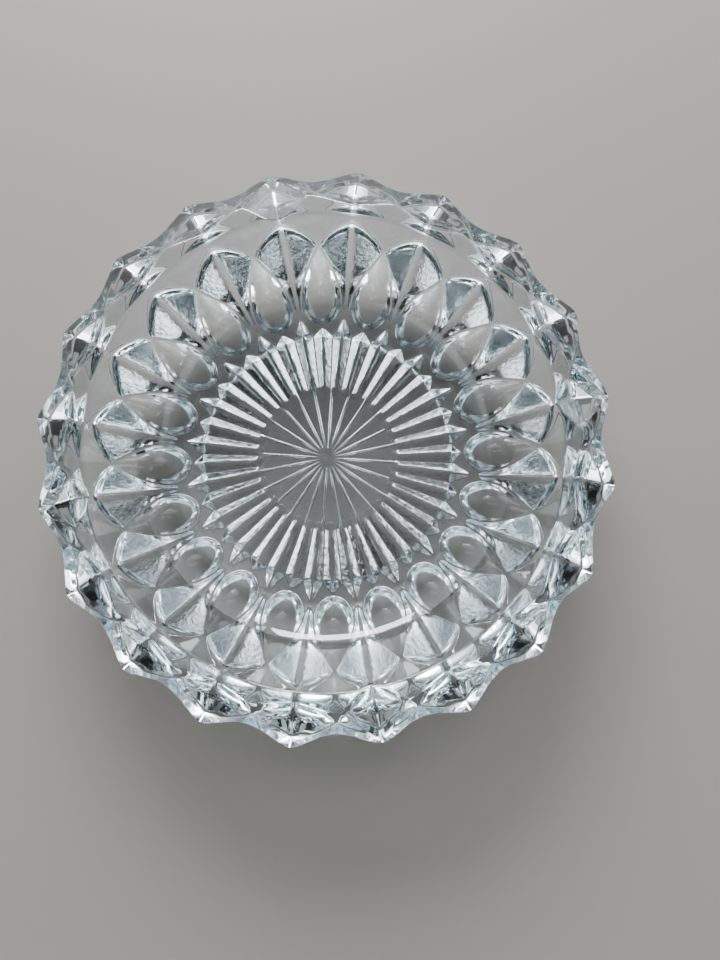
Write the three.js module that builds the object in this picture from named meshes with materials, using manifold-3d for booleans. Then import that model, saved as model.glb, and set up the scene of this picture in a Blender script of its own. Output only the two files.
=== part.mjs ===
// A one-piece pressed-glass dish: smooth bowl inside, cut-glass pattern outside, crown of twenty points.
// Millimetres, +Z up, standing on its flat foot ring at z = 0, four deep notches on +X, +Y, -X and -Y.
import * as THREE from 'three';
import { mergeVertices } from 'three/addons/utils/BufferGeometryUtils.js';
import { ConvexGeometry } from 'three/addons/geometries/ConvexGeometry.js';
import Module from 'manifold-3d';

// ---- driving dimensions -------------------------------------------------------------------------
const POINTS = 20;                 // crown points round the rim, leaf pits and thumb scoops in the wall
const NOTCH_EVERY = 5;             // every fifth crown point carries a deep notch
const HEIGHT = 38;                 // flat top land above the foot

const TIP_R = 97;                  // crown outline at a point
const VALLEY_R = 91;               // crown outline between two points
const TIP_TOP_R = 96.2;            // where the top facets of a point meet
const TIP_TOP_Z = 26.5;
const LAND_CUSP_R = 82.5;          // outer edge of the flat land between two points
const LAND_SCOOP_R = 79.6;         // outer edge of the flat land at a plain point
const NOTCH_FACET_R = 73.6;        // where the two edges of a deep notch would cross, inside the bowl
const NOTCH_SPREAD = 1.31;         // sideways opening of a deep notch per millimetre outward

const KEEL_IN = [81, 5.5];         // [radius, height] of the keel under a point, inner end
const KEEL_OUT = [97, 22.8];       // outer end, the lower corner of the point
const KEEL_FOLD = 0.33;            // rise of the two faces beside a keel, per millimetre sideways

const FLOOR_Z = 12.3;              // smooth inner floor
const FLOOR_R = 53.4;              // where the floor starts to turn up
const BOWL_FILLET = 15;            // radius of that turn
const BOWL_LEAN = THREE.MathUtils.degToRad(61);
const MOUTH_R = 76.5;              // inner edge of the flat land

const CHAMFER_R = 52;              // outer edge of the flat foot
const CHAMFER_RISE = 0.33;         // slope of the lower wall outside it
const LEAF_FOOT_R = 52.8;          // lower point of a leaf cut, on the foot plane
const LEAF_RISE = 0.89;            // rise of its long crease per millimetre outward
const LEAF_FALL = 1.22;            // fall of its two long facets per millimetre sideways
const LEAF_TOP = [89.6, 16.6];     // [radius, height] on the short crease that closes the leaf
const LEAF_TOP_DROP = 0.98;        // drop of the short crease per millimetre outward
const LEAF_TOP_FALL = 0.5;          // fall of its two rounded facets per millimetre sideways
const LEAF_TOP_CURVE = 0.052;      // and per square millimetre
const SCOOP_AT = [67, -1.8];       // [radius, height] of the centre of a thumb scoop
const SCOOP_SIZE = [18, 9.6, 11.5];  // half length, half width and half height of the stretched ball
const SCOOP_CARRY = [22, 0.66];    // how far the ball is carried outward, and how much it climbs

const STAR_RAYS = 40;
const STAR_LONG_R = 52.6;          // rays below the crown points
const STAR_SHORT_R = 48.4;         // rays between them
const STAR_NOTCH_R = 44.2;         // where two rays part on the foot plane
const STAR_DEPTH = 3.6;
const STAR_FALL = 0.9;             // fall of the two facets of a ray per millimetre sideways
const DISC_R = 22.5;               // disc in the middle of the star
const DISC_RUN = 3.5;              // length over which the rays rise from it
const DISC_Z = 2.1;
const FINE_RAYS = 24;              // fine grooves crossing the disc
const FINE_DEPTH = 0.6;
const FINE_FALL = 1.1;

const PITCH = (2 * Math.PI) / POINTS;
const SEGMENTS = 4 * POINTS;       // facets round every turned surface
const DEG = Math.PI / 180;

// ---- helpers ------------------------------------------------------------------------------------
const wasm = await Module();
wasm.setup();

function at(radius, angle, z) {
  return new THREE.Vector3(radius * Math.cos(angle), radius * Math.sin(angle), z);
}

function toSolid(geometry) {
  geometry.deleteAttribute('normal');
  geometry.deleteAttribute('uv');
  const merged = mergeVertices(geometry, 1e-4);
  const index = merged.index.array;
  const triangles = [];
  for (let i = 0; i < index.length; i += 3) {
    const [a, b, c] = [index[i], index[i + 1], index[i + 2]];
    if (a !== b && b !== c && c !== a) triangles.push(a, b, c);
  }
  const mesh = new wasm.Mesh({
    numProp: 3,
    vertProperties: new Float32Array(merged.attributes.position.array),
    triVerts: new Uint32Array(triangles),
  });
  return new wasm.Manifold(mesh);
}

function toGeometry(solid) {
  const mesh = solid.getMesh();
  const geometry = new THREE.BufferGeometry();
  geometry.setAttribute('position', new THREE.BufferAttribute(new Float32Array(mesh.vertProperties), 3));
  geometry.setIndex(new THREE.BufferAttribute(new Uint32Array(mesh.triVerts), 1));
  geometry.computeVertexNormals();
  return geometry;
}

// A turned solid from [radius, height] pairs, first and last on the axis.
function turned(profile) {
  const outline = profile.map(([radius, z]) => new THREE.Vector2(radius, z));
  return toSolid(new THREE.LatheGeometry(outline, SEGMENTS).rotateX(Math.PI / 2));
}

function hull(points) {
  return toSolid(new ConvexGeometry(points));
}

// The same cutter taken away once per listed angle.
function cutAround(body, cutter, angles) {
  let result = body;
  for (const angle of angles) {
    result = result.subtract(cutter.rotate([0, 0, angle / DEG]));
  }
  return result;
}

function heightOn(plane, radius, angle) {
  const p = at(radius, angle, 0);
  return -(plane.constant + plane.normal.x * p.x + plane.normal.y * p.y) / plane.normal.z;
}

function onPlane(plane, radius, angle) {
  return at(radius, angle, heightOn(plane, radius, angle));
}

function planeThrough(a, b, c) {
  return new THREE.Plane().setFromCoplanarPoints(a, b, c);
}

const pointAngles = Array.from({ length: POINTS }, (_, i) => i * PITCH);
const valleyAngles = pointAngles.map((angle) => angle + PITCH / 2);

// ---- blank: the crown's outline cut down to the sloping wall and the keels --------------------------
function crownOutline() {
  const shape = new THREE.Shape();
  const pointed = [[-1.6, 96.0], [-0.8, 96.7], [0, TIP_R], [0.8, 96.7], [1.6, 96.0]];
  const blunt = [[-2.0, 95.9], [-1.3, 96.5], [0, 96.8], [1.3, 96.5], [2.0, 95.9]];
  const valley = [[6.3, 92.0], [7.6, 91.25], [9, VALLEY_R], [10.4, 91.25], [11.7, 92.0]];
  for (let i = 0; i < POINTS; i += 1) {
    const tip = i % NOTCH_EVERY === 0 ? blunt : pointed;
    for (const [offset, radius] of [...tip, ...valley]) {
      const p = at(radius, i * PITCH + offset * DEG, 0);
      if (i === 0 && offset === tip[0][0]) shape.moveTo(p.x, p.y);
      else shape.lineTo(p.x, p.y);
    }
  }
  shape.closePath();
  return shape;
}

const blank = toSolid(new THREE.ExtrudeGeometry(crownOutline(), {
  depth: HEIGHT,
  bevelEnabled: false,
  curveSegments: 1,
}));
const lowerWall = turned([
  [0, 0],
  [CHAMFER_R, 0],
  [112, CHAMFER_RISE * (112 - CHAMFER_R)],
  [112, HEIGHT + 10],
  [0, HEIGHT + 10],
]);

// Roof-shaped cutter below the rim, its ridge between two points, its eaves along their keels.
function underRimCutter() {
  const half = PITCH / 2;
  const rise = (KEEL_OUT[1] - KEEL_IN[1]) / (KEEL_OUT[0] - KEEL_IN[0]);
  const along = VALLEY_R * Math.cos(half) - KEEL_IN[0];
  const valleyZ = KEEL_IN[1] + rise * along + KEEL_FOLD * VALLEY_R * Math.sin(half);
  const side = planeThrough(
    at(KEEL_IN[0], -half, KEEL_IN[1]),
    at(KEEL_OUT[0], -half, KEEL_OUT[1]),
    at(VALLEY_R, 0, valleyZ),
  );
  const points = [];
  for (const radius of [68, 112]) {
    points.push(onPlane(side, radius, 0));
    const eave = onPlane(side, radius, -1.2 * half);
    for (const y of [eave.y, -eave.y]) {
      points.push(new THREE.Vector3(eave.x, y, eave.z));
      points.push(new THREE.Vector3(eave.x, y, -12));
    }
  }
  return hull(points);
}

let dish = blank.intersect(lowerWall);
dish = cutAround(dish, underRimCutter(), valleyAngles);

// ---- wall pattern: a kite-shaped leaf pit under every point, a thumb scoop between two --------------
function leafCutter() {
  const below = -3;
  const [topR, topZ] = LEAF_TOP;
  const points = [new THREE.Vector3(LEAF_FOOT_R + below / LEAF_RISE, 0, below)];
  for (let w = -20; w <= 20; w += 4) {
    const side = Math.abs(w);
    const shoulder = LEAF_TOP_FALL * side + LEAF_TOP_CURVE * w * w;
    const rest = topZ + LEAF_TOP_DROP * topR + LEAF_RISE * LEAF_FOOT_R + LEAF_FALL * side - shoulder;
    const meet = rest / (LEAF_RISE + LEAF_TOP_DROP);
    points.push(new THREE.Vector3(meet, w, LEAF_RISE * (meet - LEAF_FOOT_R) - LEAF_FALL * side));
    points.push(new THREE.Vector3(topR + (topZ - shoulder - below) / LEAF_TOP_DROP, w, below));
  }
  return hull(points);
}

// A stretched ball carried outward.
function scoopCutter() {
  const ball = new THREE.SphereGeometry(1, 24, 16).rotateX(Math.PI / 2);
  ball.scale(...SCOOP_SIZE).translate(SCOOP_AT[0], 0, SCOOP_AT[1]);
  const position = ball.attributes.position;
  const points = [];
  for (let i = 0; i < position.count; i += 1) {
    const p = new THREE.Vector3().fromBufferAttribute(position, i);
    points.push(p);
    points.push(p.clone().add(new THREE.Vector3(SCOOP_CARRY[0], 0, SCOOP_CARRY[1])));
  }
  return hull(points);
}

dish = cutAround(dish, leafCutter(), pointAngles);
dish = cutAround(dish, scoopCutter(), valleyAngles);

// ---- top of the crown: sloping webs, a scoop in every point, four deep notches ---------------------
function webCutter() {
  const half = PITCH / 2;
  const web = planeThrough(
    at(LAND_CUSP_R, 0, HEIGHT),
    at(TIP_TOP_R, -half, TIP_TOP_Z),
    at(TIP_TOP_R, half, TIP_TOP_Z),
  );
  const points = [];
  for (const y of [-24, 24]) {
    for (const x of [70, 112]) {
      const r = Math.hypot(x, y);
      points.push(onPlane(web, r, Math.atan2(y, x)));
      points.push(new THREE.Vector3(x, y, 70));
    }
  }
  return hull(points);
}

// A V-shaped scoop: two planes meeting on the centre line of a point.
function vCutter(side, inner) {
  const points = [];
  for (const x of [inner, 112]) {
    const low = onPlane(side, x, 0);
    points.push(low);
    for (const y of [-30, 30]) {
      const high = onPlane(side, Math.hypot(x, y), Math.atan2(Math.abs(y), x));
      points.push(new THREE.Vector3(x, y, high.z));
      points.push(new THREE.Vector3(x, y, 80));
    }
  }
  return hull(points);
}

const tipTop = at(TIP_TOP_R, 0, TIP_TOP_Z);
const scoopSide = planeThrough(
  tipTop,
  at(LAND_SCOOP_R, 0, HEIGHT),
  at(LAND_CUSP_R, PITCH / 2, HEIGHT),
);
const notchSide = planeThrough(
  tipTop,
  new THREE.Vector3(NOTCH_FACET_R, 0, HEIGHT),
  new THREE.Vector3(NOTCH_FACET_R + 10, 10 * NOTCH_SPREAD, HEIGHT),
);
const notchAngles = pointAngles.filter((_, i) => i % NOTCH_EVERY === 0);
const plainAngles = pointAngles.filter((_, i) => i % NOTCH_EVERY !== 0);
dish = cutAround(dish, webCutter(), valleyAngles);
dish = cutAround(dish, vCutter(scoopSide, 66), plainAngles);
dish = cutAround(dish, vCutter(notchSide, 66), notchAngles);

// ---- inside: flat floor, round corner, leaning smooth wall ------------------------------------------
function insideProfile() {
  const steps = 6;
  const profile = [[0, FLOOR_Z]];
  for (let i = 0; i <= steps; i += 1) {
    const turn = (BOWL_LEAN * i) / steps;
    profile.push([
      FLOOR_R + BOWL_FILLET * Math.sin(turn),
      FLOOR_Z + BOWL_FILLET * (1 - Math.cos(turn)),
    ]);
  }
  profile.push([MOUTH_R - 0.45, HEIGHT - 0.8]);
  profile.push([MOUTH_R + 0.45, HEIGHT]);
  profile.push([MOUTH_R + 0.45, HEIGHT + 10]);
  profile.push([0, HEIGHT + 10]);
  return profile;
}
dish = dish.subtract(turned(insideProfile()));

// ---- underside: starburst of V-cut rays round a disc with fine grooves -----------------------------
const rayPitch = (2 * Math.PI) / STAR_RAYS;

// One ray: a V groove that widens outward and ends in a point.
function rayCutter(tipR) {
  const below = 1;
  const slope = STAR_DEPTH / (tipR - STAR_NOTCH_R);
  const shoulderR = STAR_NOTCH_R + 1.8;
  const shoulderHalf = (STAR_DEPTH - slope * 1.8 + below) / STAR_FALL;
  const points = [new THREE.Vector3(tipR + below / slope, 0, -below)];
  for (const side of [-1, 1]) {
    const startHalf = side * DISC_R * Math.tan(rayPitch / 2);
    points.push(new THREE.Vector3(DISC_R, startHalf, DISC_Z - 0.1));
    points.push(new THREE.Vector3(DISC_R, startHalf * 1.02, -below));
    points.push(new THREE.Vector3(shoulderR, side * shoulderHalf, -below));
  }
  for (const radius of [DISC_R + DISC_RUN, STAR_NOTCH_R]) {
    const half = radius * Math.tan(rayPitch / 2);
    points.push(new THREE.Vector3(radius, 0, STAR_DEPTH));
    for (const side of [-1, 1]) {
      points.push(new THREE.Vector3(radius, side * half, STAR_DEPTH - STAR_FALL * half));
      points.push(new THREE.Vector3(radius, side * half * 1.02, -below));
    }
  }
  return hull(points);
}

function fineCutter() {
  const half = FINE_DEPTH / FINE_FALL;
  return hull([
    new THREE.Vector3(1, 0, DISC_Z + 0.1),
    new THREE.Vector3(DISC_R - 0.8, 0, DISC_Z + FINE_DEPTH),
    new THREE.Vector3(DISC_R - 0.8, 2 * half, DISC_Z - FINE_DEPTH),
    new THREE.Vector3(DISC_R - 0.8, -2 * half, DISC_Z - FINE_DEPTH),
    new THREE.Vector3(1, 0, DISC_Z - FINE_DEPTH),
  ]);
}

dish = cutAround(dish, rayCutter(STAR_LONG_R), pointAngles);
dish = cutAround(dish, rayCutter(STAR_SHORT_R), pointAngles.map((angle) => angle + rayPitch));
dish = dish.subtract(turned([
  [0, -3],
  [DISC_R + 0.1, -3],
  [DISC_R + 0.1, DISC_Z],
  [0, DISC_Z],
]));
const fineAngles = Array.from({ length: FINE_RAYS }, (_, i) => (i * 2 * Math.PI) / FINE_RAYS);
dish = cutAround(dish, fineCutter(), fineAngles);

// ---- the one node -----------------------------------------------------------------------------------
const group = new THREE.Group();
const glass = new THREE.MeshStandardMaterial({ color: 0xdfe6e4, roughness: 0.05 });
const glassDish = new THREE.Mesh(toGeometry(dish), glass);
glassDish.name = 'glass_dish';
group.add(glassDish);

export default group;
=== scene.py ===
"""A clear pressed-glass dish with a crown rim, standing on a plain grey floor."""

import math

import bpy
import numpy as np
from mathutils import Matrix, Vector


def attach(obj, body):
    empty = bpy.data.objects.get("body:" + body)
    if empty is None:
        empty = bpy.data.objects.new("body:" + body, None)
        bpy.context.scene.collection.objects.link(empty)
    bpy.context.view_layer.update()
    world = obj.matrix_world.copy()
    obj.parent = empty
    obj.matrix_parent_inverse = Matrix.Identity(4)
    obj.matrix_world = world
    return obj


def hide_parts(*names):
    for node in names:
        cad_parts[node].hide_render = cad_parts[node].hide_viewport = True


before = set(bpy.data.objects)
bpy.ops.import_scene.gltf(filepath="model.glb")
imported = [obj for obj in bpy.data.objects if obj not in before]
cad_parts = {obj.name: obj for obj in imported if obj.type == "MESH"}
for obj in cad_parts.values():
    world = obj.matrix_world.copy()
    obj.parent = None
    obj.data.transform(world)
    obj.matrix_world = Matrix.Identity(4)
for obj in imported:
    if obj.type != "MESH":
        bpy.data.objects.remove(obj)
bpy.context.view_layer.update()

MM = 0.001

# ---- dimensions in millimetres; slopes are rise over run -----------------------------------------
# These are the CAD model's, except where its sharp creases are rounded here: the leaf's top crease
# starts 0.8 mm higher because its wide rounding takes about that much off it again.
POINTS = 20
NOTCH_EVERY = 5     # every fifth point has a deep rest notch, the others a shallow scoop
PITCH = 2 * math.pi / POINTS
HALF = PITCH / 2
HEIGHT = 38.0

VALLEY_R = 91.0
TIP_TOP_R, TIP_TOP_Z = 96.2, 26.5
LAND_CUSP_R, LAND_SCOOP_R = 82.5, 79.6
NOTCH_FACET_R, NOTCH_SPREAD = 73.6, 1.31
KEEL_IN, KEEL_OUT = (81.0, 5.5), (97.0, 22.8)
KEEL_FOLD = 0.33

FLOOR_Z = 12.3
FLOOR_R, BOWL_FILLET, BOWL_LEAN = 53.4, 15.0, math.radians(61.0)

LEAF_FOOT_R, LEAF_RISE, LEAF_FALL = 52.8, 0.89, 1.22
LEAF_TOP_R, LEAF_TOP_Z, LEAF_TOP_RISE = 89.6, 17.4, -0.98
LEAF_TOP_FALL, LEAF_TOP_CURVE = 0.5, 0.052
SCOOP_R, SCOOP_Z, SCOOP_RISE = 67.0, -1.8, 0.03
SCOOP_LONG, SCOOP_WIDE, SCOOP_DEEP = 18.0, 9.6, 11.5
CHAMFER_R, CHAMFER_RISE = 52.0, 0.33

STAR_LONG_R, STAR_SHORT_R, STAR_NOTCH_R = 52.6, 48.4, 44.2
STAR_DEPTH, STAR_FALL = 3.6, 0.9
STAR_RAYS = 40
DISC_R, DISC_RUN, DISC_Z = 22.5, 3.5, 2.1
FINE_RAYS, FINE_DEPTH, FINE_FALL = 24, 0.6, 1.1

OUTLINE_TIP_R, OUTLINE_LOW_R = 97.8, 90.1    # where the crown's straight sides would meet
POINT_CAP_R, NOTCH_CAP_R = 97.1, 96.6
POINT_CAP_SOFT, NOTCH_CAP_SOFT = 1.1, 1.6
NOTHING = -50.0                              # a height well under the foot, where a cut isn't


# ---- shape functions ---------------------------------------------------------------------------
def smooth_min(a, b, k):
    """Lower of two surfaces, blended where they are within k of each other."""
    h = np.maximum(k - np.abs(a - b), 0) / k
    return np.minimum(a, b) - h * h * k / 4


def smooth_max(a, b, k):
    """Higher of two surfaces, blended where they are within k of each other."""
    return -smooth_min(-a, -b, k)


def soft_abs(w, radius):
    """Size of w with its corner at zero rounded."""
    return np.sqrt(w * w + radius**2)


def fold(angle, period, offset=0.0):
    """Signed angle from the nearest of a ring of evenly spaced lines."""
    t = angle - offset
    return t - period * np.round(t / period)


def along(r, a):
    """Distance along a line and distance across it, for a point at radius r, angle a from the line."""
    return r * np.cos(a), r * np.sin(a)


def is_notch(angle):
    """True in the sectors of the points that have a deep rest notch."""
    return np.round(angle / PITCH).astype(int) % NOTCH_EVERY == 0


def outer_wall(r, angle):
    """Foot, sloping lower wall, then the steeper wall under the points, with a low keel to each."""
    u, w = along(r, fold(angle, PITCH))
    rise = (KEEL_OUT[1] - KEEL_IN[1]) / (KEEL_OUT[0] - KEEL_IN[0])
    keel = KEEL_IN[1] + rise * (u - KEEL_IN[0]) + KEEL_FOLD * (soft_abs(w, 0.6) - 0.3)
    lower = CHAMFER_RISE * (r - CHAMFER_R)
    return smooth_max(lower, keel, 2.2)


def leaf_cut(r, angle):
    """A kite-shaped pit under each point: a long V groove closed by a short one."""
    u, w = along(r, fold(angle, PITCH))
    side = soft_abs(w, 0.55) - 0.35
    long_groove = LEAF_RISE * (u - LEAF_FOOT_R) - LEAF_FALL * side
    shoulder = LEAF_TOP_FALL * side + LEAF_TOP_CURVE * w * w
    short_groove = LEAF_TOP_Z + LEAF_TOP_RISE * (u - LEAF_TOP_R) - shoulder
    return smooth_min(long_groove, short_groove, 4.0)


def scoop(r, angle):
    """A long thumbprint between two leaves, the end of a stretched ball carried outward."""
    u, w = along(r, fold(angle, PITCH, HALF))
    back = np.minimum(u - SCOOP_R, 0) / SCOOP_LONG
    dome = 1 - back * back - (w / SCOOP_WIDE) ** 2
    climb = SCOOP_RISE * np.maximum(u - SCOOP_R, 0)
    z = SCOOP_Z + climb + SCOOP_DEEP * np.sqrt(np.maximum(dome, 0))
    return np.where(dome > 0, z, NOTHING)


def ray_end(r, angle, outer, offset):
    """The outer end of a ray: two steep facets that meet in a crease and run down to a point."""
    u, w = along(r, fold(angle, PITCH, offset))
    crease = STAR_DEPTH * (outer - u) / (outer - STAR_NOTCH_R)
    return crease - STAR_FALL * (soft_abs(w, 0.2) - 0.12)


def starburst(r, angle):
    """Forty V-cut rays round a disc with fine grooves, as heights above the foot."""
    long_ends = ray_end(r, angle, STAR_LONG_R, 0.0)
    short_ends = ray_end(r, angle, STAR_SHORT_R, HALF)
    ends = smooth_max(long_ends, short_ends, 0.2)
    w = r * fold(angle, 2 * math.pi / STAR_RAYS)
    valley = STAR_DEPTH - STAR_FALL * (soft_abs(w, 0.22) - 0.1)
    rays = smooth_min(ends, valley, 0.2)
    w = r * fold(angle, 2 * math.pi / FINE_RAYS)
    groove = np.minimum(FINE_DEPTH, 0.1 + 0.05 * r) - FINE_FALL * soft_abs(w, 0.1)
    facets = DISC_Z + smooth_max(groove, np.zeros_like(groove), 0.1)
    step = np.clip((r - DISC_R) / DISC_RUN, 0, 1)
    step = step * step * (3 - 2 * step)
    return facets * (1 - step) + rays * step


def under_side(r, angle):
    """Height of the patterned outer surface."""
    wall = smooth_max(outer_wall(r, angle), leaf_cut(r, angle), 0.35)
    wall = smooth_max(wall, scoop(r, angle), 0.35)
    wall = smooth_max(wall, starburst(r, angle), 0.2)
    return smooth_max(wall, np.zeros_like(wall), 0.25)


def inside_wall(r):
    """Flat floor, a round corner, then the straight leaning wall."""
    turn = FLOOR_R + BOWL_FILLET * math.sin(BOWL_LEAN)
    step = np.clip(r - FLOOR_R, 0, turn - FLOOR_R)
    arc = BOWL_FILLET - np.sqrt(BOWL_FILLET**2 - step * step)
    return FLOOR_Z + arc + np.maximum(r - turn, 0) * math.tan(BOWL_LEAN)


def top_side(r, angle):
    """Height of the smooth plunger side and the crown's top facets."""
    u, w = along(r, fold(angle, PITCH))
    drop = (HEIGHT - TIP_TOP_Z) / (TIP_TOP_R - LAND_SCOOP_R)
    cusp_u, cusp_w = along(LAND_CUSP_R, HALF)
    spread = drop * (cusp_u - LAND_SCOOP_R) / cusp_w
    shallow = HEIGHT - drop * (u - LAND_SCOOP_R) + spread * soft_abs(w, 0.3)
    cut = (HEIGHT - TIP_TOP_Z) / (NOTCH_SPREAD * (TIP_TOP_R - NOTCH_FACET_R))
    notch = HEIGHT + cut * (soft_abs(w, 0.4) - NOTCH_SPREAD * (u - NOTCH_FACET_R))
    facet = np.where(is_notch(angle), notch, shallow)
    s = r * np.cos(fold(angle, PITCH, HALF))
    web_fall = (HEIGHT - TIP_TOP_Z) / (TIP_TOP_R * math.cos(HALF) - LAND_CUSP_R)
    web = HEIGHT - web_fall * (s - LAND_CUSP_R)
    z = smooth_min(facet, web, 0.3)
    z = smooth_min(z, np.full_like(z, HEIGHT), 0.3)
    return smooth_min(z, inside_wall(r), 0.9)


def outline(angle):
    """Radius of the crown's edge: straight sides from point to valley, with soft ends."""
    a = np.abs(fold(angle, PITCH))
    low_x, low_y = along(OUTLINE_LOW_R, HALF)
    # the straight side's normal, and from it the side as a radius at each angle
    nx, ny = low_y, OUTLINE_TIP_R - low_x
    straight = nx * OUTLINE_TIP_R / (nx * np.cos(a) + ny * np.sin(a))
    deep = is_notch(angle)
    cap = np.where(deep, NOTCH_CAP_R, POINT_CAP_R)
    r = smooth_min(straight, cap, np.where(deep, NOTCH_CAP_SOFT, POINT_CAP_SOFT))
    return smooth_max(r, np.full_like(r, VALLEY_R - 0.1), 1.6)


# ---- mesh ----------------------------------------------------------------------------------------
COLUMNS = 48 * POINTS
EDGE = 0.7          # rounding of the rim's edges
SPLIT_R = 84.0      # rings are circles inside this radius and follow the outline outside it


def ring_radii(inner, outer_steps, angle, rim):
    """Rings from the middle out, each an array of radii round the dish, ending on the rim's edge."""
    rings = [np.full_like(angle, r) for r in inner]
    for s in outer_steps:
        rings.append(SPLIT_R + (rim - EDGE - SPLIT_R) * s)
    for turn in np.linspace(0, math.pi / 2, 6)[1:]:
        rings.append(rim - EDGE + EDGE * math.sin(turn))
    return rings


def rounding(r, rim):
    """How far a surface draws in as it turns over the rim's rounded edge."""
    inset = np.clip(r - (rim - EDGE), 0, EDGE)
    return EDGE - np.sqrt(np.maximum(EDGE**2 - inset**2, 0))


def build_dish():
    """The whole dish as one closed mesh: the top side out to the rim, then the underside back in."""
    angle = np.arange(COLUMNS) * 2 * math.pi / COLUMNS
    rim = outline(angle)
    outer = np.linspace(0, 1, 27)[1:]
    top_r = np.concatenate([
        [30.0, 50.0, 52.0],
        np.linspace(52.6, 66.0, 26),
        np.linspace(67.5, 72, 4),
        np.arange(73.0, SPLIT_R + 0.01, 0.36),
    ])
    top_r[-1] = SPLIT_R
    low_r = np.concatenate([
        np.linspace(1.5, 20, 16),
        np.arange(21, 24.5, 0.35),
        np.linspace(25, 40, 24),
        np.linspace(40.6, SPLIT_R, 124),
    ])
    rings = [
        (r, top_side(r, angle) - rounding(r, rim))
        for r in ring_radii(top_r, outer, angle, rim)
    ]
    rings += [
        (r, under_side(r, angle) + rounding(r, rim))
        for r in reversed(ring_radii(low_r, outer, angle, rim))
    ]
    co = np.concatenate([np.stack([r * np.cos(angle), r * np.sin(angle), z], 1) for r, z in rings])
    centre_top, centre_low = len(co), len(co) + 1
    low_z = float(under_side(np.array([0.01]), np.array([0.0]))[0])
    co = np.concatenate([co, [[0, 0, FLOOR_Z], [0, 0, low_z]]])
    starts = [COLUMNS * number for number in range(len(rings))]
    j = np.arange(COLUMNS)
    nxt = (j + 1) % COLUMNS
    first = np.stack([np.full(COLUMNS, centre_top), starts[0] + j, starts[0] + nxt], 1)
    quads = np.concatenate(
        [np.stack([a + j, b + j, b + nxt, a + nxt], 1) for a, b in zip(starts[:-1], starts[1:])]
    )
    last = np.stack([starts[-1] + j, np.full(COLUMNS, centre_low), starts[-1] + nxt], 1)
    faces = first.tolist() + quads.tolist() + last.tolist()
    mesh = bpy.data.meshes.new("dish_glass")
    mesh.from_pydata((co * MM).tolist(), [], faces)
    mesh.validate()
    mesh.polygons.foreach_set("use_smooth", [True] * len(mesh.polygons))
    mesh.update()
    dish = bpy.data.objects.new("dish_glass", mesh)
    bpy.context.scene.collection.objects.link(dish)
    return dish


# ---- materials -----------------------------------------------------------------------------------
MOULD_SIDE_R = 0.083                          # metres: the mould's grain stops where the crown begins
MOULD_LEVEL, MOULD_LEVEL_RISE = 0.011, 0.6    # the grain is on glass under this height,
MOULD_LEVEL_R, MOULD_LEVEL_TOP = 0.060, 0.025  # which climbs from this radius up to this height
RIPPLE_SCALE, GRAIN_SCALE, GRAIN_SHARE = 130, 620, 1.6
BUMP_STRENGTH, BUMP_HEIGHT = 0.15, 0.0003
HAZE_SCALE, HAZE_ROUGHNESS = 45, 0.05
GLASS_IOR = 1.52
GLASS_TINT, GLASS_DENSITY = (0.80, 0.85, 0.87, 1), 32
FLOOR_DARK, FLOOR_LIGHT = (0.25, 0.23, 0.21, 1), (0.28, 0.258, 0.236, 1)


def noise(nodes, links, coords, scale, detail):
    """A noise texture fixed to the object."""
    node = nodes.new("ShaderNodeTexNoise")
    node.inputs["Scale"].default_value = scale
    node.inputs["Detail"].default_value = detail
    links.new(coords.outputs["Object"], node.inputs["Vector"])
    return node.outputs["Fac"]


def math_node(nodes, links, operation, *values):
    """A maths node fed with numbers and sockets."""
    node = nodes.new("ShaderNodeMath")
    node.operation = operation
    for socket, value in zip(node.inputs, values):
        if isinstance(value, (int, float)):
            socket.default_value = value
        else:
            links.new(value, socket)
    return node.outputs["Value"]


def mould_side(nodes, links, coords):
    """1 on the leaves, scoops and star of the underside, 0 on the smooth inside and the crown."""
    flat = nodes.new("ShaderNodeVectorMath")
    flat.operation = "MULTIPLY"
    flat.inputs[1].default_value = (1, 1, 0)
    links.new(coords.outputs["Object"], flat.inputs[0])
    length = nodes.new("ShaderNodeVectorMath")
    length.operation = "LENGTH"
    links.new(flat.outputs["Vector"], length.inputs[0])
    split = nodes.new("ShaderNodeSeparateXYZ")
    links.new(coords.outputs["Object"], split.inputs["Vector"])
    radius = length.outputs["Value"]
    outward = math_node(nodes, links, "SUBTRACT", radius, MOULD_LEVEL_R)
    outward = math_node(nodes, links, "MAXIMUM", outward, 0.0)
    level = math_node(nodes, links, "MULTIPLY_ADD", outward, MOULD_LEVEL_RISE, MOULD_LEVEL)
    level = math_node(nodes, links, "MINIMUM", level, MOULD_LEVEL_TOP)
    below = math_node(nodes, links, "LESS_THAN", split.outputs["Z"], level)
    inside_crown = math_node(nodes, links, "LESS_THAN", radius, MOULD_SIDE_R)
    return math_node(nodes, links, "MULTIPLY", below, inside_crown)


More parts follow.
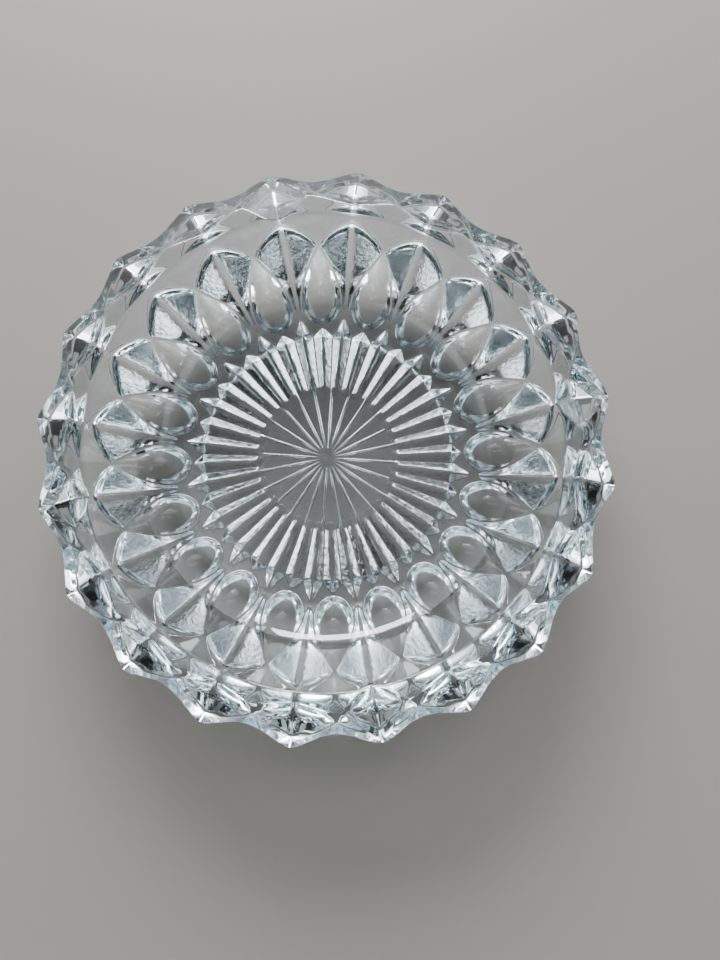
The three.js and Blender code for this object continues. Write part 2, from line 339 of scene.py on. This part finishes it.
def glass_material():
    """Clear glass with a ripple, mould grain, a trace of haze and a faint blue-grey body."""
    mat = bpy.data.materials.new("clear_pressed_glass")
    mat.use_nodes = True
    nt = mat.node_tree
    nodes, links = nt.nodes, nt.links
    shader = nodes["Principled BSDF"]
    out = nodes["Material Output"]
    shader.inputs["Base Color"].default_value = (0.98, 0.99, 0.99, 1)
    shader.inputs["Transmission Weight"].default_value = 1.0
    shader.inputs["IOR"].default_value = GLASS_IOR
    coords = nodes.new("ShaderNodeTexCoord")
    # a slow fire-polished ripple everywhere, and the finer grain of the mould on the patterned side
    slow = noise(nodes, links, coords, RIPPLE_SCALE, 2)
    grain = noise(nodes, links, coords, GRAIN_SCALE, 3)
    grain_share = math_node(nodes, links, "MULTIPLY", grain, mould_side(nodes, links, coords))
    relief = math_node(nodes, links, "MULTIPLY_ADD", grain_share, GRAIN_SHARE, slow)
    bump = nodes.new("ShaderNodeBump")
    bump.inputs["Strength"].default_value = BUMP_STRENGTH
    bump.inputs["Distance"].default_value = BUMP_HEIGHT
    links.new(relief, bump.inputs["Height"])
    links.new(bump.outputs["Normal"], shader.inputs["Normal"])
    spread = nodes.new("ShaderNodeMapRange")
    spread.inputs["From Min"].default_value = 0.35
    spread.inputs["From Max"].default_value = 0.75
    spread.inputs["To Min"].default_value = 0.0
    spread.inputs["To Max"].default_value = HAZE_ROUGHNESS
    links.new(noise(nodes, links, coords, HAZE_SCALE, 5), spread.inputs["Value"])
    links.new(spread.outputs["Result"], shader.inputs["Roughness"])
    body = nodes.new("ShaderNodeVolumeAbsorption")
    body.inputs["Color"].default_value = GLASS_TINT
    body.inputs["Density"].default_value = GLASS_DENSITY
    links.new(body.outputs["Volume"], out.inputs["Volume"])
    return mat


def floor_material():
    """Plain matt grey with a slight mottle."""
    mat = bpy.data.materials.new("pale_floor")
    mat.use_nodes = True
    nodes, links = mat.node_tree.nodes, mat.node_tree.links
    shader = nodes["Principled BSDF"]
    shader.inputs["Roughness"].default_value = 0.6
    mottle = nodes.new("ShaderNodeTexNoise")
    mottle.inputs["Scale"].default_value = 6
    ramp = nodes.new("ShaderNodeValToRGB")
    ramp.color_ramp.elements[0].color = FLOOR_DARK
    ramp.color_ramp.elements[1].color = FLOOR_LIGHT
    links.new(mottle.outputs["Fac"], ramp.inputs["Fac"])
    links.new(ramp.outputs["Color"], shader.inputs["Base Color"])
    return mat


dish = build_dish()
dish.data.materials.append(glass_material())
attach(dish, "root")
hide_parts("glass_dish")

FLOOR_HALF = 3.0        # metres
FLOOR_GAP = 0.00015     # keeps the floor just clear of the foot

floor_mesh = bpy.data.meshes.new("floor")
corners = [(x * FLOOR_HALF, y * FLOOR_HALF, 0) for x, y in ((-1, -1), (1, -1), (1, 1), (-1, 1))]
floor_mesh.from_pydata(corners, [], [(0, 1, 2, 3)])
floor = bpy.data.objects.new("floor", floor_mesh)
bpy.context.scene.collection.objects.link(floor)
floor.location.z = -FLOOR_GAP
floor_mesh.materials.append(floor_material())

# ---- camera: almost straight above, with the dish turned a little about its own axis ---------------
TURN = math.radians(11.4)
DISTANCE = 0.2738
CAMERA_AT = (0.0425, -0.1056, 1.0)      # in multiples of the distance
TILT = math.radians(-4.48)
SENSOR = 36.0
FOCAL_PIXELS, FRAME_PIXELS = 750, 960   # focal length and the frame's long side


def place_camera():
    """The scene's camera, at the photograph's viewing angle."""
    data = bpy.data.cameras.new("camera")
    data.sensor_width = SENSOR
    data.lens = FOCAL_PIXELS / FRAME_PIXELS * SENSOR
    data.clip_start = 0.01
    camera = bpy.data.objects.new("camera", data)
    bpy.context.scene.collection.objects.link(camera)
    look = Matrix.Rotation(TILT, 4, "X").transposed()
    place = Matrix.Translation(Vector(CAMERA_AT) * DISTANCE)
    camera.matrix_world = Matrix.Rotation(-TURN, 4, "Z") @ place @ look
    bpy.context.scene.camera = camera


# ---- light: one window, and a dim room that is brighter on the window's side and overhead ----------
def soft_box(name, where, aim, width, height, power, tint):
    """A rectangular light at one place, aimed at another, in the camera's turned frame."""
    data = bpy.data.lights.new(name, "AREA")
    data.shape = "RECTANGLE"
    data.size, data.size_y = width, height
    data.energy = power
    data.color = tint
    light = bpy.data.objects.new(name, data)
    bpy.context.scene.collection.objects.link(light)
    turn = Matrix.Rotation(-TURN, 4, "Z")
    at = turn @ Vector(where)
    to = turn @ Vector(aim)
    light.location = at
    light.rotation_euler = (to - at).to_track_quat("-Z", "Y").to_euler()


place_camera()
soft_box("window", (-0.22, 1.6, 0.73), (0, 0, 0.02), 1.15, 0.46, 50, (0.95, 0.98, 1.0))

world = bpy.data.worlds.new("room")
world.use_nodes = True
w_nodes, w_links = world.node_tree.nodes, world.node_tree.links
sky = w_nodes.new("ShaderNodeTexCoord")


def glow(direction, stops):
    """Room brightness as a colour ramp over how far a direction points the given way."""
    toward = w_nodes.new("ShaderNodeVectorMath")
    toward.operation = "DOT_PRODUCT"
    toward.inputs[1].default_value = Matrix.Rotation(-TURN, 3, "Z") @ Vector(direction).normalized()
    w_links.new(sky.outputs["Generated"], toward.inputs[0])
    ramp = w_nodes.new("ShaderNodeValToRGB")
    elements = ramp.color_ramp.elements
    for index, (position, value) in enumerate(stops):
        stop = elements[index] if index < 2 else elements.new(position)
        stop.position = position
        stop.color = (value * 0.96, value, value * 1.04, 1)
    w_links.new(toward.outputs["Value"], ramp.inputs["Fac"])
    return ramp.outputs["Color"]


# each stop is (how far the direction points the glow's way, brightness); the ends come first
window_side = ((0.0, 0.025), (1.0, 4.2), (0.25, 0.07), (0.55, 2.2))
ceiling = ((0.0, 0.0), (1.0, 0.7), (0.96, 0.0), (0.985, 0.5))
ceiling_patch = ((0.0, 0.0), (1.0, 2.6), (0.975, 0.0), (0.99, 1.8))
room_light = glow((0, 1, 0), window_side)
overhead = (
    ((0, -0.05, 1), ceiling),
    ((-0.31, -0.08, 0.95), ceiling_patch),
    ((0.31, -0.08, 0.95), ceiling_patch),
)
for direction, stops in overhead:
    both = w_nodes.new("ShaderNodeVectorMath")
    both.operation = "ADD"
    w_links.new(room_light, both.inputs[0])
    w_links.new(glow(direction, stops), both.inputs[1])
    room_light = both.outputs["Vector"]
w_links.new(room_light, w_nodes["Background"].inputs["Color"])
w_nodes["Background"].inputs["Strength"].default_value = 1.0
bpy.context.scene.world = world
bpy.context.scene.view_settings.look = "AgX - Medium High Contrast"
# light passes through and inside the glass many times
cycles = bpy.context.scene.cycles
cycles.max_bounces = 24
cycles.transmission_bounces = 24
cycles.glossy_bounces = 12
